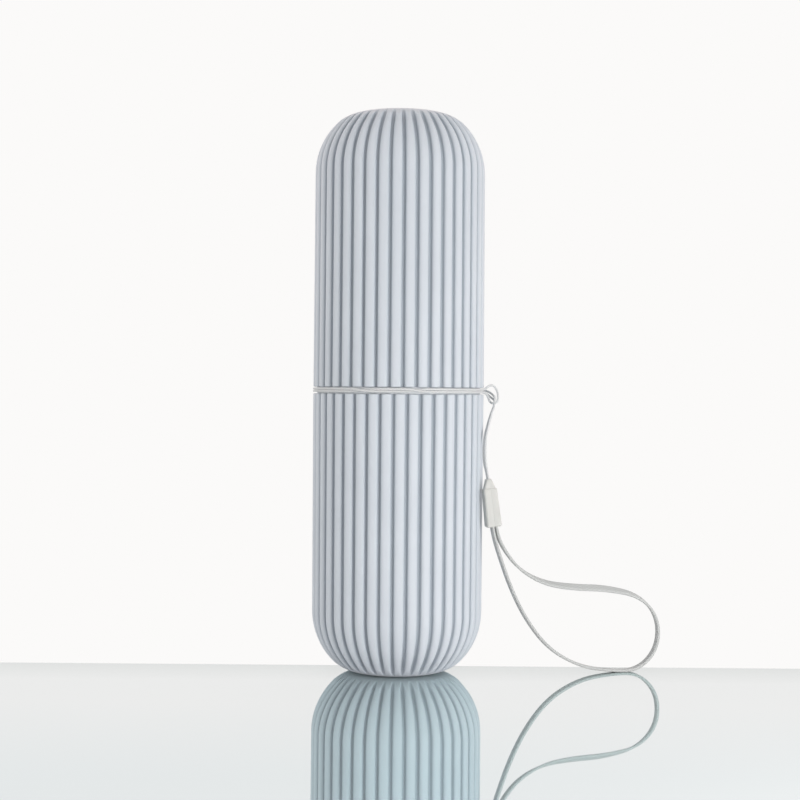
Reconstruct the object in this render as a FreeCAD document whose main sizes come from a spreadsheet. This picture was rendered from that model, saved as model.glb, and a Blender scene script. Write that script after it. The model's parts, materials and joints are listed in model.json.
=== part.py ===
import FreeCAD, Part
import math
import os
import Sketcher

# Oral care travel case: two ribbed cups on a neck sleeve, and a lanyard hitched round the neck.
# Millimetres. Origin at the middle of the foot, +Z up, +X towards the hitch, +Y to the back.

doc = FreeCAD.newDocument("oral_care_travel_case")
sheet = doc.addObject("Spreadsheet::Sheet", "dim")

driving_sizes = {
    # cups: two like mouldings, the upper one turned over and a little shorter
    "case_diameter": 62.0,
    "cup_height": 100.7,
    "upper_cup_trim": 1.5,
    "cup_wall": 2.6,
    "shoulder_radius": 25.3,
    "end_radius": 15.5,
    "dome_turn": 42.0,
    "rim_rounding": 0.4,
    # grooves between the ribs
    "rib_count": 40,
    "groove_depth": 1.6,
    "groove_bottom_radius": 0.62,
    "groove_edge_radius": 0.75,
    "groove_edge_skim": 0.03,
    "groove_lead": 2.0,
    "lower_rib_turn": -3.36,
    "upper_rib_turn": 2.69,
    # neck sleeve and its seal rings
    "neck_gap": 2.4,
    "neck_depth": 1.4,
    "sleeve_reach": 14.0,
    "sleeve_wall": 1.6,
    "sleeve_clearance": 0.2,
    "sleeve_lead": 0.6,
    "seal_offset": 8.0,
    "seal_height": 2.0,
    "seal_depth": 0.8,
    "seal_side_clearance": 0.1,
    "seal_seat_clearance": 0.05,
    "seal_cup_clearance": 0.1,
    "seal_bulge": 0.2,
    # divider plate and the rails that hold it in the sleeve
    "divider_thickness": 1.6,
    "divider_offset": 4.0,
    "divider_floor_gap": 0.3,
    "divider_edge_clearance": 0.3,
    "divider_drop": 4.0,
    "divider_corner_excess": 1.6,
    "divider_top_rounding": 3.0,
    "notch_radius": 10.0,
    "notch_half_width": 9.0,
    "rail_thickness": 1.2,
    "rail_grip": 2.0,
    "rail_clearance": 0.25,
    "rail_root": 0.6,
    # cord in the neck groove and down to the clasp
    "cord_diameter": 0.8,
    "strand_gap": 0.44,
    "cord_seat_gap": 0.65,
    "knot_radius": 0.9,
    "knot_end": 0.08,
    # clasp, in two halves that meet in the plane between the strap's ends
    "clasp_length": 14.0,
    "clasp_nose": 3.2,
    "clasp_foot_across": 5.6,
    "clasp_foot_deep": 4.4,
    "clasp_top_across": 5.0,
    "clasp_top_deep": 3.6,
    "clasp_nose_across": 1.9,
    "clasp_nose_deep": 2.9,
    "clasp_rounding": 0.7,
    "clasp_edge": 0.4,
    "clasp_fit": 0.1,
    "clasp_slot_depth": 6.0,
    "knot_chamber_start": 8.2,
    "knot_chamber_height": 3.3,
    "clasp_tilt": 7.0,
    "clasp_height": 53.4,
    "clasp_standoff": 0.37,
    # wrist strap, standing in one upright plane
    "strap_width": 3.2,
    "strap_thickness": 1.0,
    "strap_layer_gap": 0.3,
    "strap_floor_gap": 0.05,
    "loop_turn": 12.4,
    "loop_start_out": 3.04,
    "loop_start_front": 9.58,
}
for row, (alias, value) in enumerate(driving_sizes.items(), start=1):
    sheet.set(f"A{row}", str(value))
    sheet.setAlias(f"A{row}", alias)
doc.recompute()

# Sizes that follow from the driving ones
outer_radius = "(dim.case_diameter / 2)"
inner_radius = f"({outer_radius} - dim.cup_wall)"
case_height = "(2 * dim.cup_height - dim.upper_cup_trim + dim.neck_gap)"
neck_height = "(dim.cup_height + dim.neck_gap / 2)"
neck_radius = f"({outer_radius} - dim.neck_depth)"
shoulder_centre = f"({outer_radius} - dim.shoulder_radius)"
shoulder_height = "(dim.end_radius + (dim.shoulder_radius - dim.end_radius) * sin(dim.dome_turn))"
foot_radius = f"({shoulder_centre} + (dim.shoulder_radius - dim.end_radius) * cos(dim.dome_turn))"
sleeve_outer = f"({inner_radius} - dim.sleeve_clearance)"
sleeve_inner = f"({sleeve_outer} - dim.sleeve_wall)"
sleeve_top = "(dim.neck_gap / 2 + dim.sleeve_reach)"
seal_floor = f"({sleeve_outer} - dim.seal_depth)"
divider_far_face = "(dim.divider_offset + dim.divider_thickness / 2)"
divider_half_width = f"(sqrt({sleeve_inner}^2 - {divider_far_face}^2) - dim.divider_edge_clearance)"
strand_spacing = "(dim.cord_diameter + dim.strand_gap)"
strap_layer_offset = "((dim.strap_thickness + dim.strap_layer_gap) / 2)"
knot_half_length = f"(({strand_spacing} + dim.cord_diameter) / 2 + dim.knot_end)"
knot_chamber_top = "(dim.knot_chamber_start + dim.knot_chamber_height)"

x_axis = FreeCAD.Vector(1, 0, 0)
y_axis = FreeCAD.Vector(0, 1, 0)
z_axis = FreeCAD.Vector(0, 0, 1)


def size(expression):
    return float(sheet.evalExpression(expression))


def new_body(label):
    body = doc.addObject("PartDesign::Body", label)
    body.Label = label
    return body


def origin_feature(body, role):
    return next(feature for feature in body.Origin.OriginFeatures if feature.Role == role)


def new_sketch(body, name, plane, height=None):
    sketch = body.newObject("Sketcher::SketchObject", name)
    sketch.AttachmentSupport = [(origin_feature(body, plane), "")]
    sketch.MapMode = "FlatFace"
    if height:
        sketch.setExpression("AttachmentOffset.Base.z", height)
    return sketch


def drive(sketch, name, expression, *reference):
    index = sketch.addConstraint(Sketcher.Constraint(*reference, size(expression)))
    sketch.renameConstraint(index, name)
    sketch.setExpression(f"Constraints.{name}", expression)


def place_point(sketch, tag, expressions, edge, end):
    for kind, letter, axis, expression in (("DistanceX", "x", -2, expressions[0]),
                                           ("DistanceY", "y", -1, expressions[1])):
        if expression == "0":
            sketch.addConstraint(Sketcher.Constraint("PointOnObject", edge, end, axis))
        else:
            drive(sketch, f"{letter}{tag}", expression, kind, -1, 1, edge, end)


def draw(sketch, corners, closed=True, tag=""):
    # A corner is (x, y), or (x, y, radius, turn) where an arc leads to it: turn 1 is anticlockwise
    spots = [FreeCAD.Vector(size(corner[0]), size(corner[1]), 0) for corner in corners]
    count = len(corners)
    edges = []
    for i in range(count if closed else count - 1):
        start = spots[i]
        finish = spots[(i + 1) % count]
        arc = corners[(i + 1) % count][2:]
        if not arc:
            edges.append((sketch.addGeometry(Part.LineSegment(start, finish)), 1, 2))
            continue
        radius_expression, turn = arc
        radius = size(radius_expression)
        half = (finish - start) * 0.5
        left = FreeCAD.Vector(-half.y, half.x, 0).normalize()
        centre = start + half + left * (turn * math.sqrt(radius**2 - half.Length**2))
        first, last = (start, finish) if turn > 0 else (finish, start)
        angles = [math.atan2(spot.y - centre.y, spot.x - centre.x) for spot in (first, last)]
        edge = sketch.addGeometry(Part.ArcOfCircle(Part.Circle(centre, z_axis, radius), *angles))
        drive(sketch, f"r{tag}{i}", radius_expression, "Radius", edge)
        edges.append((edge, 1, 2) if turn > 0 else (edge, 2, 1))
    for i in range(len(edges) if closed else len(edges) - 1):
        edge, _, end = edges[i]
        following, begin, _ = edges[(i + 1) % len(edges)]
        sketch.addConstraint(Sketcher.Constraint("Coincident", edge, end, following, begin))
    for i, (edge, begin, _) in enumerate(edges):
        place_point(sketch, f"{tag}{i}", corners[i], edge, begin)
    if not closed:
        edge, _, end = edges[-1]
        place_point(sketch, f"{tag}{count - 1}", corners[-1], edge, end)


def rectangle(sketch, x_low, x_high, y_low, y_high, tag=""):
    draw(sketch, [(x_low, y_low), (x_high, y_low), (x_high, y_high), (x_low, y_high)], tag=tag)


def revolve(body, name, sketch):
    turned = body.newObject("PartDesign::Revolution", name)
    turned.Profile = sketch
    turned.ReferenceAxis = (sketch, ["V_Axis"])
    turned.Angle = 360
    return turned


def cut_upwards(body, name, sketch, depth=None):
    before = body.Shape.Volume
    pocket = body.newObject("PartDesign::Pocket", name)
    pocket.Profile = sketch
    pocket.Reversed = True
    if depth:
        pocket.setExpression("Length", depth)
    else:
        pocket.Type = "ThroughAll"
    doc.recompute()
    print(f"{body.Label} {name} cuts {before - body.Shape.Volume:.2f} mm3")


def cup_wall_outline():
    turn_cos, turn_sin = "cos(dim.dome_turn)", "sin(dim.dome_turn)"
    shoulder_inside = "(dim.shoulder_radius - dim.cup_wall)"
    return [
        ("0", "0"),
        (foot_radius, "0"),
        (f"{shoulder_centre} + dim.shoulder_radius * {turn_cos}",
         f"{shoulder_height} - dim.shoulder_radius * {turn_sin}", "dim.end_radius", 1),
        (outer_radius, shoulder_height, "dim.shoulder_radius", 1),
        (outer_radius, "dim.cup_height - dim.rim_rounding"),
        (f"{outer_radius} - dim.rim_rounding", "dim.cup_height", "dim.rim_rounding", 1),
        (inner_radius, "dim.cup_height"),
        (inner_radius, shoulder_height),
        (f"{shoulder_centre} + {shoulder_inside} * {turn_cos}",
         f"{shoulder_height} - {shoulder_inside} * {turn_sin}", shoulder_inside, -1),
        (foot_radius, "dim.cup_wall", "dim.end_radius - dim.cup_wall", -1),
        ("0", "dim.cup_wall"),
    ]


def groove_path():
    # Down the wall, round the shoulder, then straight on, so that the groove runs out on the dome
    run_out = "(1.5 * sqrt(2 * dim.end_radius * dim.groove_depth))"
    bend_x = f"({shoulder_centre} + dim.shoulder_radius * cos(dim.dome_turn))"
    bend_z = f"({shoulder_height} - dim.shoulder_radius * sin(dim.dome_turn))"
    return [
        (outer_radius, "dim.cup_height + dim.groove_lead"),
        (outer_radius, shoulder_height),
        (bend_x, bend_z, "dim.shoulder_radius", -1),
        (f"{bend_x} - {run_out} * sin(dim.dome_turn)", f"{bend_z} - {run_out} * cos(dim.dome_turn)"),
    ]


def groove_section():
    # Round bottom, straight sides and edges that ease over onto the rib
    mouth = f"({outer_radius} + dim.groove_edge_skim)"
    outside = f"({mouth} + dim.groove_depth)"
    side = "dim.groove_bottom_radius"
    half_mouth = "(dim.groove_bottom_radius + dim.groove_edge_radius)"
    bottom = f"({outer_radius} - dim.groove_depth)"
    bottom_centre = f"({bottom} + dim.groove_bottom_radius)"
    edge_start = f"({mouth} - dim.groove_edge_radius)"
    return [
        (outside, f"-{half_mouth}"),
        (mouth, f"-{half_mouth}"),
        (edge_start, f"-{side}", "dim.groove_edge_radius", 1),
        (bottom_centre, f"-{side}"),
        (bottom, "0", "dim.groove_bottom_radius", -1),
        (bottom_centre, side, "dim.groove_bottom_radius", -1),
        (edge_start, side),
        (mouth, half_mouth, "dim.groove_edge_radius", 1),
        (outside, half_mouth),
    ]


def make_lower_cup():
    body = new_body("lower_cup")
    wall = new_sketch(body, "cup_wall_outline", "XZ_Plane")
    draw(wall, cup_wall_outline())
    revolve(body, "cup_shell", wall)
    doc.recompute()
    plain_volume = body.Shape.Volume
    path = new_sketch(body, "groove_path", "XZ_Plane")
    draw(path, groove_path(), closed=False)
    section = new_sketch(body, "groove_section", "XY_Plane", "dim.cup_height + dim.groove_lead")
    draw(section, groove_section())
    groove = body.newObject("PartDesign::SubtractivePipe", "groove")
    groove.Profile = section
    groove.Spine = path
    doc.recompute()
    ribs = body.newObject("PartDesign::PolarPattern", "ribs")
    ribs.Originals = [groove]
    ribs.Axis = (origin_feature(body, "Z_Axis"), [""])
    ribs.Angle = 360
    ribs.setExpression("Occurrences", "dim.rib_count")
    body.Tip = ribs
    doc.recompute()
    print(f"grooves cut {plain_volume - body.Shape.Volume:.1f} mm3 of {plain_volume:.1f}")
    body.Placement = FreeCAD.Placement(FreeCAD.Vector(), FreeCAD.Rotation(z_axis, size("dim.lower_rib_turn")))
    return body


def make_upper_cup(lower_cup):
    # The same moulding as the lower cup, with its mouth trimmed shorter
    body = new_body("upper_cup")
    body.BaseFeature = lower_cup
    doc.recompute()
    before = body.Shape.Volume
    rim = "(dim.cup_height - dim.upper_cup_trim)"
    above = "(dim.cup_height + dim.groove_lead)"
    inside = f"({inner_radius} - dim.groove_lead)"
    outside = f"({outer_radius} + dim.groove_lead)"
    trim = new_sketch(body, "mouth_trim_outline", "XZ_Plane")
    draw(trim, [
        (inside, rim),
        (f"{outer_radius} - dim.rim_rounding", rim),
        (outer_radius, f"{rim} - dim.rim_rounding", "dim.rim_rounding", -1),
        (outside, f"{rim} - dim.rim_rounding"),
        (outside, above),
        (inside, above),
    ])
    cut = body.newObject("PartDesign::Groove", "mouth_trim")
    cut.Profile = trim
    cut.ReferenceAxis = (trim, ["V_Axis"])
    cut.Angle = 360
    doc.recompute()
    print(f"upper_cup trim cuts {before - body.Shape.Volume:.1f} mm3")
    turned_over = FreeCAD.Rotation(z_axis, size("dim.upper_rib_turn")).multiply(FreeCAD.Rotation(x_axis, 180))
    body.Placement = FreeCAD.Placement(FreeCAD.Vector(), turned_over)
    body.setExpression("Placement.Base.z", case_height)
    return body


def sleeve_half_outline(sign):
    # From the flange out to one end of the sleeve, above it or below it
    seal_near = f"{sign} * (dim.seal_offset - dim.seal_height / 2)"
    seal_far = f"{sign} * (dim.seal_offset + dim.seal_height / 2)"
    return [
        (neck_radius, f"{sign} * dim.neck_gap / 2"),
        (sleeve_outer, f"{sign} * dim.neck_gap / 2"),
        (sleeve_outer, seal_near),
        (seal_floor, seal_near),
        (seal_floor, seal_far),
        (sleeve_outer, seal_far),
        (sleeve_outer, f"{sign} * ({sleeve_top} - dim.sleeve_lead)"),
        (f"{sleeve_outer} - dim.sleeve_lead", f"{sign} * {sleeve_top}"),
        (sleeve_inner, f"{sign} * {sleeve_top}"),
    ]


def make_neck_sleeve():
    body = new_body("neck_sleeve")
    wall = new_sketch(body, "sleeve_wall_outline", "XZ_Plane")
    draw(wall, sleeve_half_outline("-1")[::-1] + sleeve_half_outline("1"))
    revolve(body, "sleeve_ring", wall)
    doc.recompute()
    plain_volume = body.Shape.Volume
    rails = new_sketch(body, "rail_section", "XY_Plane", f"-{sleeve_top}")
    near = "(dim.divider_thickness / 2 + dim.rail_clearance)"
    far = f"({near} + dim.rail_thickness)"
    front_rail = (f"dim.divider_offset - {far}", f"dim.divider_offset - {near}")
    back_rail = (f"dim.divider_offset + {near}", f"dim.divider_offset + {far}")
    root_radius = f"({sleeve_inner} + dim.rail_root)"
    for side in ("-1", "1"):
        for name, rail in (("front", front_rail), ("back", back_rail)):
            inside = f"{side} * ({divider_half_width} - dim.rail_grip)"
            root = f"{side} * sqrt({root_radius}^2 - max({rail[0]}; {rail[1]})^2)"
            tag = f"{name}{'left' if side == '-1' else 'right'}"
            rectangle(rails, inside, root, rail[0], rail[1], tag)
    pad = body.newObject("PartDesign::Pad", "rails")
    pad.Profile = rails
    pad.setExpression("Length", f"2 * {sleeve_top}")
    doc.recompute()
    print(f"neck_sleeve rails add {body.Shape.Volume - plain_volume:.1f} mm3")
    body.setExpression("Placement.Base.z", neck_height)
    return body


def make_seal_ring(label, sign):
    body = new_body(label)
    section = new_sketch(body, f"{label}_section", "XZ_Plane")
    half_height = "(dim.seal_height / 2 - dim.seal_side_clearance)"
    bore = f"({seal_floor} + dim.seal_seat_clearance)"
    side = f"({inner_radius} - dim.seal_cup_clearance - dim.seal_bulge)"
    bulge_radius = f"(({half_height}^2 + dim.seal_bulge^2) / (2 * dim.seal_bulge))"
    draw(section, [
        (bore, f"-{half_height}"),
        (side, f"-{half_height}"),
        (side, half_height, bulge_radius, 1),
        (bore, half_height),
    ])
    revolve(body, f"{label}_ring", section)
    body.setExpression("Placement.Base.z", f"{neck_height} + {sign} * dim.seal_offset")
    return body


def make_divider():
    body = new_body("divider")
    outline = new_sketch(body, "divider_outline", "XZ_Plane")
    floor = "(dim.cup_wall + dim.divider_floor_gap)"
    top = f"({neck_height} + {sleeve_top} - dim.divider_drop)"
    corner = "(dim.end_radius - dim.cup_wall + dim.divider_corner_excess)"
    flat = f"({divider_half_width} - {corner})"
    rounding = "dim.divider_top_rounding"
    draw(outline, [
        (f"-{flat}", floor, corner, 1),
        (flat, floor),
        (divider_half_width, f"{floor} + {corner}", corner, 1),
        (divider_half_width, f"{top} - {rounding}"),
        (f"{divider_half_width} - {rounding}", top, rounding, 1),
        ("dim.notch_half_width", top),
        ("-dim.notch_half_width", top, "dim.notch_radius", -1),
        (f"-({divider_half_width} - {rounding})", top),
        (f"-{divider_half_width}", f"{top} - {rounding}", rounding, 1),
        (f"-{divider_half_width}", f"{floor} + {corner}"),
    ])
    plate = body.newObject("PartDesign::Pad", "divider_plate")
    plate.Profile = outline
    plate.Midplane = True
    plate.setExpression("Length", "dim.divider_thickness")
    body.setExpression("Placement.Base.y", "dim.divider_offset")
    return body


def loop_point(along, height, across=0.0):
    # A point of the upright plane that the strap stands in
    turn = math.radians(size("dim.loop_turn"))
    return FreeCAD.Vector(
        size(outer_radius) + size("dim.loop_start_out") + along * math.cos(turn) - across * math.sin(turn),
        along * math.sin(turn) + across * math.cos(turn) - size("dim.loop_start_front"),
        height,
    )


def clasp_placement():
    turned = FreeCAD.Rotation(z_axis, size("dim.loop_turn"))
    tilted = FreeCAD.Rotation(y_axis, -size("dim.clasp_tilt"))
    base = loop_point(size("dim.clasp_standoff"), size("dim.clasp_height"))
    return FreeCAD.Placement(base, turned.multiply(tilted))


def clasp_section(sign, across, deep):
    half_across = f"({across} / 2)"
    half_deep = f"({deep} / 2)"
    turn = 1 if sign == "1" else -1
    return [
        ("0", f"-{half_deep}"),
        (f"{sign} * ({half_across} - dim.clasp_rounding)", f"-{half_deep}"),
        (f"{sign} * {half_across}", f"-({half_deep} - dim.clasp_rounding)", "dim.clasp_rounding", turn),
        (f"{sign} * {half_across}", f"{half_deep} - dim.clasp_rounding"),
        (f"{sign} * ({half_across} - dim.clasp_rounding)", half_deep, "dim.clasp_rounding", turn),
        ("0", half_deep),
    ]


def make_clasp_half(label, sign):
    body = new_body(label)
    inset = "2 * dim.clasp_edge"
    levels = [
        ("0", f"(dim.clasp_foot_across - {inset})", f"(dim.clasp_foot_deep - {inset})"),
        ("dim.clasp_edge", "dim.clasp_foot_across", "dim.clasp_foot_deep"),
        ("dim.clasp_length - dim.clasp_edge", "dim.clasp_top_across", "dim.clasp_top_deep"),
        ("dim.clasp_length", f"(dim.clasp_top_across - {inset})", f"(dim.clasp_top_deep - {inset})"),
        ("dim.clasp_length + dim.clasp_nose", "dim.clasp_nose_across", "dim.clasp_nose_deep"),
    ]
    sections = []
    for i, (height, across, deep) in enumerate(levels):
        section = new_sketch(body, f"{label}_section_{i}", "XY_Plane", height)
        draw(section, clasp_section(sign, across, deep))
        sections.append(section)
    block = body.newObject("PartDesign::AdditiveLoft", f"{label}_block")
    block.Profile = sections[0]
    block.Sections = sections[1:]
    block.Ruled = True
    doc.recompute()
    past_split = f"-{sign} * dim.clasp_rounding"
    hollows = [
        ("strap_slot", "0", "dim.clasp_slot_depth",
         f"{strap_layer_offset} + dim.strap_thickness / 2 + dim.clasp_fit",
         "(dim.strap_width / 2 + dim.clasp_fit)"),
        ("knot_chamber", "dim.knot_chamber_start", "dim.knot_chamber_height",
         "dim.knot_radius + dim.clasp_fit", f"({knot_half_length} + dim.clasp_fit)"),
        ("cord_passage", knot_chamber_top, None,
         "dim.cord_diameter / 2 + dim.clasp_fit",
         f"(({strand_spacing} + dim.cord_diameter) / 2 + dim.clasp_fit)"),
    ]
    for name, height, depth, half_across, half_deep in hollows:
        sketch = new_sketch(body, f"{label}_{name}_outline", "XY_Plane", height)
        rectangle(sketch, past_split, f"{sign} * ({half_across})", f"-{half_deep}", half_deep)
        cut_upwards(body, f"{label}_{name}", sketch, depth)
    body.Placement = clasp_placement()
    return body


def rounded_path(points, name):
    # Straight runs joined by tangent arcs, each as large as its two runs allow
    share = 0.45
    edges = []
    radii = []
    here = points[0]
    for before, corner, after in zip(points, points[1:], points[2:]):
        inward = corner - before
        outward = after - corner
        tangent = share * min(inward.Length, outward.Length)
        inward.normalize()
        outward.normalize()
        half_turn = inward.getAngle(outward) / 2
        radius = tangent / math.tan(half_turn)
        start = corner - inward * tangent
        finish = corner + outward * tangent
        towards_centre = (outward - inward).normalize()
        middle = corner + towards_centre * (radius / math.cos(half_turn) - radius)
        edges.append(Part.LineSegment(here, start).toShape())
        edges.append(Part.Arc(start, middle, finish).toShape())
        radii.append(round(radius, 2))
        here = finish
    edges.append(Part.LineSegment(here, points[-1]).toShape())
    wire = Part.Wire(edges)
    print(f"{name} length {wire.Length:.1f} mm, arc radii {radii}")
    return wire


def sweep(wire, section, area, name):
    tube = wire.makePipeShell([section], True, False)
    print(f"{name} volume {tube.Volume:.2f} mm3, section times length {area * wire.Length:.2f}")
    return tube


def print_least_gap(wire, diameter, name):
    # Least room between stretches of the cord that lie further apart along it than one tight fold
    step = 0.5
    fold = 4.5
    spots = wire.discretize(Number=int(wire.Length / step))
    reach = int(fold / step)
    least = min(
        spots[i].distanceToPoint(spots[j])
        for i in range(len(spots))
        for j in range(i + reach, len(spots))
    )
    print(f"{name} least gap to itself {least - diameter:.2f} mm")


def neck_turn(lane_height):
    # Corners of a polygon round the neck whose sides touch the cord's circle
    step = 15.0
    first = 22.5
    count = 22
    circle = size(neck_radius) + size("dim.cord_seat_gap") + size("dim.cord_diameter") / 2
    corner_radius = circle / math.cos(math.radians(step / 2))
    corners = []
    for i in range(count):
        angle = math.radians(first + step * i)
        x = corner_radius * math.cos(angle)
        y = corner_radius * math.sin(angle)
        corners.append(FreeCAD.Vector(x, y, lane_height))
    return corners


def hitch_points(offsets):
    # Points near the hitch: out from the ribs, along Y, and up from the middle of the neck
    return [FreeCAD.Vector(size(outer_radius) + out, y, size(neck_height) + up) for out, y, up in offsets]


def hanging_points(entry, exit_point, spots):
    # Points between the clasp's nose and the hitch: share of the drop, out from the ribs, along Y
    return [
        FreeCAD.Vector(size(outer_radius) + out, y, entry.z + share * (exit_point.z - entry.z))
        for share, out, y in spots
    ]


def make_lanyard_cord():
    diameter = size("dim.cord_diameter")
    half_spacing = size(strand_spacing) / 2
    neck = size(neck_height)
    clasp = clasp_placement()
    knot_height = size(f"{knot_chamber_top} - dim.clasp_fit - dim.knot_radius")
    nose_height = size("dim.clasp_length + dim.clasp_nose + 1.5 * dim.cord_diameter")

    ends = {
        side: [
            clasp.multVec(FreeCAD.Vector(0, side * half_spacing, height))
            for height in (knot_height, nose_height)
        ]
        for side in (-1, 1)
    }
    back_end = ends[1]
    back_hitch = hitch_points([
        (1.3, -4.2, -12.0), (2.5, -2.7, -8.2), (3.7, -1.95, -5.4), (3.95, -1.85, -3.3),
        (3.8, 0.3, -3.1), (3.0, 2.9, -2.4), (0.5, 5.6, -half_spacing),
    ])
    back_drop = hanging_points(back_end[-1], back_hitch[0], [(0.28, -0.4, -8.7), (0.73, -0.1, -7.3)])
    bight = hitch_points([
        (0.15, -3.9, -half_spacing), (1.5, -1.2, -1.75), (2.35, 0.1, -4.4), (5.15, 0.1, -4.4),
        (5.3, -0.1, -0.3), (3.6, -0.9, 2.3), (1.5, -2.2, 1.9), (0.15, -4.3, half_spacing),
    ])
    front_hitch = hitch_points([
        (0.5, 5.6, half_spacing), (3.0, 2.9, -0.7), (3.65, 0.3, -1.75), (3.9, -3.15, -2.0),
        (3.75, -3.3, -5.2), (2.7, -4.1, -8.2), (1.6, -5.5, -12.0),
    ])
    front_end = ends[-1][::-1]
    front_drop = hanging_points(front_end[0], front_hitch[-1], [(0.73, 0.3, -8.8), (0.28, 0.3, -10.1)])

    lower_turn = neck_turn(neck - half_spacing)
    upper_turn = neck_turn(neck + half_spacing)[::-1]
    route = back_end + back_drop + back_hitch + lower_turn + bight + upper_turn
    route += front_hitch + front_drop + front_end
    wire = rounded_path(route, "lanyard_cord")
    print_least_gap(wire, diameter, "lanyard_cord")
    section = Part.Wire([Part.Circle(route[0], route[1] - route[0], diameter / 2).toShape()])
    tube = sweep(wire, section, math.pi * diameter**2 / 4, "lanyard_cord")

    knot_half = size(knot_half_length)
    knot_start = clasp.multVec(FreeCAD.Vector(0, -knot_half, knot_height))
    knot_direction = clasp.Rotation.multVec(y_axis)
    knot = Part.makeCylinder(size("dim.knot_radius"), 2 * knot_half, knot_start, knot_direction)
    cord = doc.addObject("Part::Feature", "lanyard_cord")
    cord.Label = "lanyard_cord"
    cord.Shape = tube.fuse(knot).removeSplitter()
    cord.Placement = FreeCAD.Placement()
    return cord


def make_wrist_strap():
    clasp = clasp_placement()
    layer = size(strap_layer_offset)
    inside = size("dim.clasp_slot_depth - dim.clasp_fit")
    below = -size("2 * dim.strap_thickness")
    floor_run = size("dim.strap_thickness / 2 + dim.strap_floor_gap")
    ends = {
        side: [clasp.multVec(FreeCAD.Vector(side * layer, 0, height)) for height in (inside, below)]
        for side in (-1, 1)
    }
    # Along the loop's plane and up: down to the table, round the loop's far end and back over the top
    loop = [
        (3.2, 41.3), (7.5, 29.9), (13.2, 19.1), (21.4, 9.0), (32.9, 2.5), (44.9, floor_run),
        (55.6, floor_run), (63.0, 8.2), (63.0, 19.3), (55.6, 27.0), (43.0, 29.3), (30.6, 29.7),
        (19.4, 31.7), (10.3, 36.9), (4.4, 44.8),
    ]
    route = ends[-1] + [loop_point(along, height) for along, height in loop] + ends[1][::-1]
    wire = rounded_path(route, "wrist_strap")
    width = size("dim.strap_width")
    thickness = size("dim.strap_thickness")
    across = clasp.Rotation.multVec(y_axis) * (width / 2)
    through = clasp.Rotation.multVec(x_axis) * (thickness / 2)
    start = route[0]
    corners = [
        start - across - through,
        start + across - through,
        start + across + through,
        start - across + through,
    ]
    section = Part.makePolygon(corners + corners[:1])
    strap = doc.addObject("Part::Feature", "wrist_strap")
    strap.Label = "wrist_strap"
    strap.Shape = sweep(wire, section, width * thickness, "wrist_strap")
    strap.Placement = FreeCAD.Placement()
    return strap


lower_cup = make_lower_cup()
nodes = [
    lower_cup,
    make_upper_cup(lower_cup),
    make_neck_sleeve(),
    make_seal_ring("upper_seal_ring", "1"),
    make_seal_ring("lower_seal_ring", "-1"),
    make_divider(),
    make_lanyard_cord(),
    make_clasp_half("clasp_inner_half", "-1"),
    make_clasp_half("clasp_outer_half", "1"),
    make_wrist_strap(),
]
doc.recompute()

for item in doc.Objects:
    if {"Invalid", "Error"} & set(item.State):
        raise RuntimeError(f"{item.Label} failed: {item.State}")
for node in nodes:
    if node.Shape.isNull() or not node.Shape.isValid() or len(node.Shape.Solids) != 1:
        raise RuntimeError(f"{node.Label} has no sound solid")

os.makedirs("parts", exist_ok=True)
for node in nodes:
    node.Shape.exportStep(f"parts/{node.Label}.step")
    box = node.Shape.BoundBox
    print(f"{node.Label}: {node.Shape.Volume:.1f} mm3, z {box.ZMin:.2f} to {box.ZMax:.2f}")
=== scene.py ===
import bmesh
import bpy
import json
import math
from mathutils import Matrix, Vector

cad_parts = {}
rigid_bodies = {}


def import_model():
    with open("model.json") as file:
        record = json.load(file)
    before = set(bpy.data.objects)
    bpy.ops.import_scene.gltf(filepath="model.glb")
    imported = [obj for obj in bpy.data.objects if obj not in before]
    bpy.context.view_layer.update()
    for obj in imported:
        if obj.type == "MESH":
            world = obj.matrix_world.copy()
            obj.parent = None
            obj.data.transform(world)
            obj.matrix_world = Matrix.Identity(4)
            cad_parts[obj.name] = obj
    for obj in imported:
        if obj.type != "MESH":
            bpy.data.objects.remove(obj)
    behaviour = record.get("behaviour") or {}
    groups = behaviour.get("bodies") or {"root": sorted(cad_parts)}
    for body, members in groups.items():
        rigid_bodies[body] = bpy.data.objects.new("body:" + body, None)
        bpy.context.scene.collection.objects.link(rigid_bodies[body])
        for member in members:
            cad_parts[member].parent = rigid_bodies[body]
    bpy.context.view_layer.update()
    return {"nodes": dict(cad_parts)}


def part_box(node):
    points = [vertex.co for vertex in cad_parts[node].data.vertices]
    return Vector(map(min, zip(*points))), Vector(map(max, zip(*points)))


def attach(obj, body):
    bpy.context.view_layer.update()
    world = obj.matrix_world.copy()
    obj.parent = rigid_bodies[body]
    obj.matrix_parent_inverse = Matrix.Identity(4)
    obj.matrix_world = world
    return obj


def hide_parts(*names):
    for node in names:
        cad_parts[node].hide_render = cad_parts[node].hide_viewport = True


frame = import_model()
mm = 0.001
bpy.context.scene.view_settings.view_transform = "Standard"
neckLow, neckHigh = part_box("neck_sleeve")
neckHeight = (neckLow.z + neckHigh.z) / 2
cupLow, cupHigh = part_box("lower_cup")
caseRadius = (cupHigh.y - cupLow.y) / 2
cupHeight = cupHigh.z - cupLow.z
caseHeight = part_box("upper_cup")[1].z
print("frame loaded:", len(frame["nodes"]), "nodes, case", round(caseHeight / mm, 1), "mm tall")

# Camera level with the neck. neckAt is where the neck's middle lies in the 800 x 800 picture
shot = {
    "picture": 800,
    "focalPixels": 1704,
    "sensor": 36.0,
    "distance": 0.62,
    "neckAt": (398.45, 390.6),
    "roll": 0.46,
    "clipEnd": 30,
}


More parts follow.
